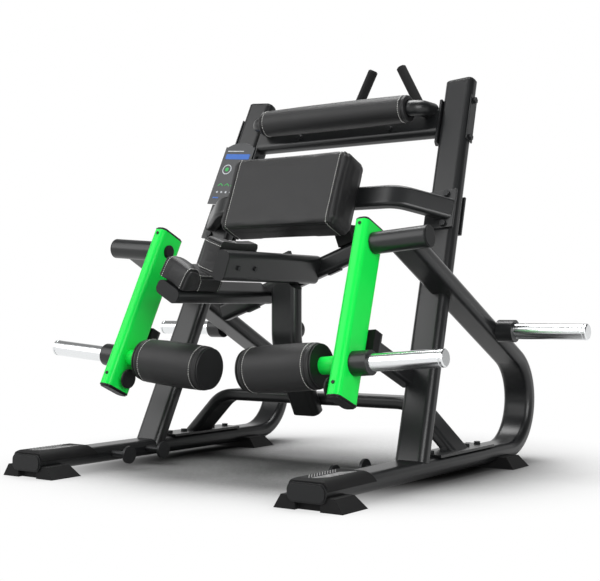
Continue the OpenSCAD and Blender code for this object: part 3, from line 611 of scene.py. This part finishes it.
def copies(name, model, places):
    """One mesh of many copies of a model mesh."""
    points = []
    faces = []
    for place in places:
        base = len(points)
        points.extend(place @ vertex.co for vertex in model.vertices)
        faces.extend([base + corner for corner in face.vertices] for face in model.polygons)
    mesh = bpy.data.meshes.new(name)
    mesh.from_pydata(points, [], faces)
    mesh.polygons.foreach_set("use_smooth", [model.polygons[0].use_smooth] * len(faces))
    return mesh


def sew(pad, seams, shown, body, thread, sizes):
    """Draws in a pad's seams and lays a row of stitches beside each. A seam is a point and a direction."""
    for point, normal in seams:
        draw_in(pad, point, normal, shown, sizes)
    places = []
    for point, normal in seams:
        line = section(pad, point - normal * sizes.stitch_offset, normal)
        for spot, run, up in along(line, sizes.stitch_pitch):
            if not shown(spot, up):
                continue
            side = up.cross(run).normalized()
            turn = Matrix((run, side, run.cross(side))).transposed().to_4x4()
            places.append(Matrix.Translation(spot) @ turn)
    model = one_stitch(sizes)
    mesh = copies(pad.name + "_stitches", model, places)
    bpy.data.meshes.remove(model)
    new_piece(pad.name + "_stitches", mesh, thread, body)


def settings_of(context):
    """The colours and the sizes that are set in the scene."""
    return context.scene.machine_colours, context.scene.machine_sizes


def kept(name, make, *values):
    """A material by name, made when it is first asked for."""
    return bpy.data.materials.get(name) or make(*values)


class MACHINE_OT_frame(bpy.types.Operator):
    """Powder-coat the frame, its collars and the knee cradle"""

    bl_idname = "machine.frame"
    bl_label = "Frame Coat"

    def execute(self, context):
        cover_nodes(COATED, powder_coat(*settings_of(context)))
        return {"FINISHED"}


class MACHINE_OT_arms(bpy.types.Operator):
    """Enamel the swinging arms and the roller axles"""

    bl_idname = "machine.arms"
    bl_label = "Arm Enamel"

    def execute(self, context):
        cover_nodes(ENAMELLED, arm_enamel(*settings_of(context)))
        return {"FINISHED"}


class MACHINE_OT_metal(bpy.types.Operator):
    """Finish the horns, bolts, pins and shafts"""

    bl_idname = "machine.metal"
    bl_label = "Bare Metal"

    def execute(self, context):
        cover_nodes(CHROMED, chrome_plate(*settings_of(context)))
        cover_nodes(BLACKENED, black_oxide(*settings_of(context)))
        cover_nodes(GROUND_STEEL, ground_steel(*settings_of(context)))
        return {"FINISHED"}


class MACHINE_OT_trim(bpy.types.Operator):
    """Finish the rubber and the moulded trim"""

    bl_idname = "machine.trim"
    bl_label = "Rubber and Trim"

    def execute(self, context):
        cover_nodes(RUBBER, black_rubber(*settings_of(context)))
        cover_nodes(MOULDED, moulded_plastic(*settings_of(context)))
        return {"FINISHED"}


class MACHINE_OT_torso_pad(bpy.types.Operator):
    """Upholster the torso pad and sew its two end panels on"""

    bl_idname = "machine.torso_pad"
    bl_label = "Torso Pad"

    def execute(self, context):
        colours, sizes = settings_of(context)
        rear = Vector((0, math.cos(TORSO_LEAN), -math.sin(TORSO_LEAN)))
        base = max(vertex.co.dot(rear) for vertex in frame["nodes"]["torso_pad"].data.vertices)
        low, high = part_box("torso_pad")
        pad = upholster("torso_pad", "torso_cushion", lambda spot: spot.dot(rear) > base - 1.5 * sizes.voxel,
                        "frame", kept("pad_leather", pad_leather, colours, sizes), sizes)
        upward = Vector((0, math.sin(TORSO_LEAN), math.cos(TORSO_LEAN)))
        fill_out(pad, (-rear, upward, -upward), sizes.firmness)
        middle = (low + high) / 2
        seams = [(middle + Vector((side * (high.x - sizes.torso_seam), 0, 0)), Vector((side, 0, 0)))
                 for side in (-1, 1)]
        sew(pad, seams, lambda spot, up: up.dot(rear) < FACING, "frame",
            kept("thread_twist", thread_twist, colours, sizes), sizes)
        return {"FINISHED"}


def roller_cushion(node, name, middle, axis, bore, seam, body, colours, sizes):
    """A padded roller with a ring seam near each end."""
    def radius(spot):
        across = spot - middle
        return (across - axis * across.dot(axis)).length

    reach = max((vertex.co - middle).dot(axis) for vertex in frame["nodes"][node].data.vertices)
    pad = upholster(node, name, lambda spot: radius(spot) < bore + 1.5 * sizes.voxel, body,
                    kept("pad_leather", pad_leather, colours, sizes), sizes)
    seams = [(middle + axis * side * (reach - seam), axis * side) for side in (-1, 1)]
    sew(pad, seams, lambda spot, up: radius(spot) > bore + 2 * sizes.voxel, body,
        kept("thread_twist", thread_twist, colours, sizes), sizes)


class MACHINE_OT_top_roller(bpy.types.Operator):
    """Upholster the roller in front of the top bar"""

    bl_idname = "machine.top_roller"
    bl_label = "Top Roller"

    def execute(self, context):
        colours, sizes = settings_of(context)
        low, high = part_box("top_roller_pad")
        tube_low, tube_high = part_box("top_roller_tube")
        bore = (tube_high.z - tube_low.z) / 2
        roller_cushion("top_roller_pad", "top_roller_cushion", (low + high) / 2, Vector((1, 0, 0)), bore,
                       sizes.top_seam, "frame", colours, sizes)
        return {"FINISHED"}


class MACHINE_OT_ankle_rollers(bpy.types.Operator):
    """Upholster the two ankle rollers"""

    bl_idname = "machine.ankle_rollers"
    bl_label = "Ankle Rollers"

    def execute(self, context):
        colours, sizes = settings_of(context)
        for joint in frame["joints"]:
            if not joint["name"].endswith("roller_spin"):
                continue
            side = joint["name"].split("_")[0]
            axis = Vector(joint["axis"]).normalized()
            low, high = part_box(side + "_roller_pad")
            middle = (low + high) / 2
            spots = [vertex.co - middle for vertex in frame["nodes"][side + "_roller_pad"].data.vertices]
            bore = min((spot - axis * spot.dot(axis)).length for spot in spots)
            roller_cushion(side + "_roller_pad", side + "_ankle_cushion", middle, axis, bore,
                           sizes.roller_seam, side + "_roller", colours, sizes)
        return {"FINISHED"}


class MACHINE_OT_knee_pads(bpy.types.Operator):
    """Upholster the two knee pads of the cradle"""

    bl_idname = "machine.knee_pads"
    bl_label = "Knee Pads"

    def execute(self, context):
        colours, sizes = settings_of(context)
        for side, sign in (("left", -1), ("right", 1)):
            roll = CRADLE_TILT + sign * CRADLE_VEE
            under = Vector((math.sin(roll), 0, -math.cos(roll)))
            across = Vector((math.cos(roll), 0, math.sin(roll)))
            node = side + "_knee_pad"
            spots = [vertex.co for vertex in frame["nodes"][node].data.vertices]
            base = max(spot.dot(under) for spot in spots)
            low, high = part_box(node)
            pad = upholster(node, side + "_knee_cushion",
                            lambda spot: spot.dot(under) > base - 1.5 * sizes.voxel, "knee_cradle",
                            kept("pad_leather", pad_leather, colours, sizes), sizes)
            middle = (low + high) / 2
            seams = [(Vector((middle.x, low.y + sizes.knee_roll, middle.z)), Vector((0, -1, 0))),
                     (Vector((middle.x, high.y - sizes.knee_seam, middle.z)), Vector((0, 1, 0)))]
            for outward in (across, -across):
                edge = max((spot - middle).dot(outward) for spot in spots)
                seams.append((middle + outward * (edge - sizes.knee_seam), outward))
            sew(pad, seams, lambda spot, up: up.dot(under) < FACING, "knee_cradle",
                kept("thread_twist", thread_twist, colours, sizes), sizes)
        return {"FINISHED"}


class MACHINE_OT_treads(bpy.types.Operator):
    """Lay the grip ribs on the two foot plates"""

    bl_idname = "machine.treads"
    bl_label = "Tread Ribs"

    def execute(self, context):
        colours, sizes = settings_of(context)
        low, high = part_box("foot_plates")
        inner = min(vertex.co.x for vertex in frame["nodes"]["foot_plates"].data.vertices if vertex.co.x > 0)
        middle_x = (inner + high.x) / 2
        # Two lanes of slanting ribs on the flat middle of each plate, one on either side of its centre line
        half = 0.62 * (high.x - middle_x)
        front = low.y + sizes.rib_front
        rear = high.y - sizes.rib_rear
        rib_length = 1.4 * half
        bpy.ops.object.select_all(action="DESELECT")
        bpy.ops.mesh.primitive_cube_add(size=1)
        rib = bpy.context.object
        rib.scale = (rib_length, sizes.rib_width, 2 * sizes.rib_height)
        bpy.ops.object.transform_apply(location=False, rotation=False, scale=True)
        apply_modifier(rib, "BEVEL", width=sizes.rib_height * 0.7, segments=2)
        places = []
        for side in (-1, 1):
            count = int((rear - front) / sizes.rib_pitch)
            for step in range(count + 1):
                for lane in (-1, 1):
                    spot = Vector((side * middle_x + lane * half / 2, front + step * sizes.rib_pitch, high.z))
                    places.append(Matrix.Translation(spot) @ Matrix.Rotation(lane * sizes.rib_slant, 4, "Z"))
        mesh = copies("tread_ribs", rib.data, places)
        bpy.data.objects.remove(rib)
        new_piece("tread_ribs", mesh, worn_rubber(colours, sizes), "frame")
        return {"FINISHED"}


def placard_frame():
    """The middle of the placard's front, with X across it, Y up it and Z out of it."""
    turn = Matrix.Rotation(SIDE_TILT, 4, "Y") @ Matrix.Rotation(math.pi / 2 - UPRIGHT_LEAN, 4, "X")
    inverse = turn.inverted()
    spots = [inverse @ vertex.co for vertex in frame["nodes"]["placard"].data.vertices]
    low = Vector([min(spot[i] for spot in spots) for i in range(3)])
    high = Vector([max(spot[i] for spot in spots) for i in range(3)])
    front = Vector(((low.x + high.x) / 2, (low.y + high.y) / 2, high.z))
    return Matrix.Translation(turn @ front) @ turn, (high - low)


def ink_bar(place, centre, size, corner, height, turn=0.0):
    """A printed bar with round corners."""
    bpy.ops.object.select_all(action="DESELECT")
    bpy.ops.mesh.primitive_plane_add(size=1)
    bar = bpy.context.object
    bar.scale = (size[0], size[1], 1)
    bpy.ops.object.transform_apply(location=False, rotation=False, scale=True)
    apply_modifier(bar, "BEVEL", affect="VERTICES", width=corner, segments=5)
    apply_modifier(bar, "SOLIDIFY", thickness=height, offset=1)
    bar.data.transform(place @ Matrix.Translation((*centre, 0)) @ Matrix.Rotation(turn, 4, "Z"))
    return bar


def ink_ring(place, centre, outer, inner, height):
    """A printed ring, or a dot where its inner radius is nothing."""
    bpy.ops.object.select_all(action="DESELECT")
    bpy.ops.mesh.primitive_circle_add(vertices=40, radius=outer, fill_type="NGON")
    ring = bpy.context.object
    if inner > 0:
        bpy.ops.object.mode_set(mode="EDIT")
        bpy.ops.mesh.select_all(action="SELECT")
        bpy.ops.mesh.inset(thickness=outer - inner)
        bpy.ops.mesh.delete(type="FACE")
        bpy.ops.object.mode_set(mode="OBJECT")
    apply_modifier(ring, "SOLIDIFY", thickness=height, offset=1)
    ring.data.transform(place @ Matrix.Translation((*centre, 0)))
    return ring


class MACHINE_OT_placard(bpy.types.Operator):
    """Print a plain design of bands, rings and chevrons on the placard"""

    bl_idname = "machine.placard"
    bl_label = "Placard"

    def execute(self, context):
        colours, sizes = settings_of(context)
        cover_nodes(("placard",), placard_sheet(colours, sizes))
        place, size = placard_frame()
        wide = size.x
        tall = size.y
        height = sizes.print_height
        band = [ink_bar(place, (0, 0.27 * tall), (0.82 * wide, 0.085 * tall), 0.004, height),
                ink_bar(place, (-0.29 * wide, -0.4 * tall), (0.2 * wide, 0.02 * tall), 0.002, height)]
        marks = [ink_bar(place, (-0.12 * wide, 0.36 * tall), (0.56 * wide, 0.012 * tall), 0.001, height),
                 ink_ring(place, (-0.22 * wide, 0.06 * tall), 0.15 * wide, 0.125 * wide, height)]
        for row in range(4):
            marks.append(ink_bar(place, (0.23 * wide, (0.14 - 0.05 * row) * tall),
                                 ((0.34 - 0.05 * row) * wide, 0.01 * tall), 0.001, height))
        accents = [ink_ring(place, (-0.22 * wide, 0.06 * tall), 0.06 * wide, 0, height)]
        for step in range(3):
            for lean in (-1, 1):
                accents.append(ink_bar(place, ((-0.26 + 0.22 * step + 0.04 * lean) * wide, -0.19 * tall),
                                       (0.11 * wide, 0.014 * tall), 0.001, height, -lean * math.radians(40)))
        for dot in range(5):
            marks.append(ink_ring(place, ((-0.3 + 0.15 * dot) * wide, -0.31 * tall), 0.03 * wide, 0, height))
        for name, parts, ink in (("placard_band", band, colours.band), ("placard_marks", marks, colours.mark),
                                 ("placard_accents", accents, colours.accent)):
            work_on(parts[0])
            for part in parts:
                part.select_set(True)
            bpy.ops.object.join()
            parts[0].name = name
            parts[0].data.materials.clear()
            parts[0].data.materials.append(print_ink(name + "_ink", ink))
            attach(parts[0], "frame")
        return {"FINISHED"}


def area_lamp(name, place, target, size, power):
    """A square soft lamp that faces a point."""
    lamp = bpy.data.objects.new(name, bpy.data.lights.new(name, "AREA"))
    lamp.data.shape = "SQUARE"
    lamp.data.size = size
    lamp.data.energy = power
    lamp.location = place
    lamp.rotation_euler = (Vector(place) - Vector(target)).to_track_quat("Z", "Y").to_euler()
    bpy.context.scene.collection.objects.link(lamp)


def white_surround(ambient):
    """A world that is white to the camera and a soft light otherwise, with darker sides in reflections."""
    world = bpy.data.worlds.new("surround")
    world.use_nodes = True
    bpy.context.scene.world = world
    sky = Finish(world.node_tree)
    direct, mirrored, through = [sky.node("LightPath", output=name)
                                 for name in ("Is Camera Ray", "Is Glossy Ray", "Is Transmission Ray")]
    heading = sky.node("TexCoord", output="Generated")
    aside = sky.node("SeparateXYZ", None, {0: heading}, "X")
    above = sky.node("SeparateXYZ", None, {0: heading}, "Z")
    dim_aside = sky.ramp(aside, 0.1, 0.6, 1.0, 0.3)
    dim_above = sky.ramp(above, 0.2, 0.6, 1.0, 0.25)
    seen = direct.most(through)
    strength = seen + (1 - seen) * (ambient + mirrored * (dim_aside * dim_above - ambient))
    light = sky.node("Background", None, {"Color": (1, 1, 1, 1), "Strength": strength})
    sky.node("OutputWorld", None, {"Surface": light}, None)


def pale_floor(colours, shot):
    """A floor that keeps the lamps' shadows, has a painted shadow darkened into its colour under and beside
    the machine, and fades to white away from it.
    """
    bpy.ops.object.select_all(action="DESELECT")
    bpy.ops.mesh.primitive_circle_add(vertices=96, radius=FLOOR_RADIUS, fill_type="NGON")
    floor = bpy.context.object
    floor.name = "floor"
    material, ground = finish("pale_floor")
    away = ground.node("VectorMath", {"operation": "DISTANCE"}, {0: ground.place(), 1: FLOOR_MIDDLE}, "Value")
    fade = ground.ramp(away, shot.fade_start, shot.fade_end, 0.0, 1.0)
    # Painted shadow: ambient occlusion darkens the floor's colour towards a near-black share of it close to
    # the machine's parts, within the shadow reach
    open_share = ground.node("AmbientOcclusion", {"samples": 16}, {"Distance": shot.shadow_reach}, "AO")
    shade = ground.mix(open_share * open_share * open_share, scaled(colours.floor, 0.03), colours.floor)
    lit = ground.node("BsdfDiffuse", None, {"Color": shade})
    white = ground.node("Emission", None, {"Color": (1, 1, 1), "Strength": 1.0})
    rays = [ground.node("LightPath", output=name) for name in ("Is Camera Ray", "Is Glossy Ray")]
    share = fade * rays[0].most(rays[1])
    both = ground.node("MixShader", None, {0: share, 1: lit, 2: white})
    ground.node("OutputMaterial", None, {"Surface": both}, None)
    floor.data.materials.append(material)


class MACHINE_OT_stage(bpy.types.Operator):
    """Set up the camera, the floor, the lamps and the white surround"""

    bl_idname = "machine.stage"
    bl_label = "Stage"

    def execute(self, context):
        shot = context.scene.machine_shot
        eye = bpy.data.objects.new("camera", bpy.data.cameras.new("camera"))
        eye.data.sensor_fit = "HORIZONTAL"
        eye.data.sensor_width = 36
        eye.data.lens = shot.lens
        eye.location = shot.place
        eye.rotation_euler = (math.pi / 2 + shot.pitch, 0, shot.heading)
        context.scene.collection.objects.link(eye)
        context.scene.camera = eye
        context.scene.view_settings.view_transform = "Standard"
        for name, place, size in LAMPS:
            area_lamp(name + "_lamp", place, LIT_POINT, size, getattr(shot, name))
        white_surround(shot.ambient)
        pale_floor(context.scene.machine_colours, shot)
        return {"FINISHED"}


class MACHINE_PT_panel(bpy.types.Panel):
    """Lists the machine's pieces in the sidebar"""

    bl_idname = "MACHINE_PT_panel"
    bl_label = "Leg Curl Machine"
    bl_space_type = "VIEW_3D"
    bl_region_type = "UI"
    bl_category = "Machine"

    def draw(self, context):
        for piece in PIECES:
            self.layout.operator(piece.bl_idname)
        for group in (context.scene.machine_colours, context.scene.machine_sizes, context.scene.machine_shot):
            box = self.layout.box()
            for name in group.__annotations__:
                box.prop(group, name)


PIECES = (
    MACHINE_OT_stage, MACHINE_OT_frame, MACHINE_OT_arms, MACHINE_OT_metal, MACHINE_OT_trim,
    MACHINE_OT_torso_pad, MACHINE_OT_top_roller, MACHINE_OT_ankle_rollers, MACHINE_OT_knee_pads,
    MACHINE_OT_treads, MACHINE_OT_placard,
)
CLASSES = (MachineColours, MachineSizes, MachineShot, *PIECES, MACHINE_PT_panel)


def register():
    for group in CLASSES:
        bpy.utils.register_class(group)
    bpy.types.Scene.machine_colours = PointerProperty(type=MachineColours)
    bpy.types.Scene.machine_sizes = PointerProperty(type=MachineSizes)
    bpy.types.Scene.machine_shot = PointerProperty(type=MachineShot)


def unregister():
    del bpy.types.Scene.machine_shot
    del bpy.types.Scene.machine_sizes
    del bpy.types.Scene.machine_colours
    for group in reversed(CLASSES):
        bpy.utils.unregister_class(group)


def main():
    register()
    bpy.ops.machine.stage()
    bpy.ops.machine.frame()
    bpy.ops.machine.arms()
    bpy.ops.machine.metal()
    bpy.ops.machine.trim()
    bpy.ops.machine.torso_pad()
    bpy.ops.machine.top_roller()
    bpy.ops.machine.ankle_rollers()
    bpy.ops.machine.knee_pads()
    bpy.ops.machine.treads()
    bpy.ops.machine.placard()


if __name__ == "__main__":
    main()
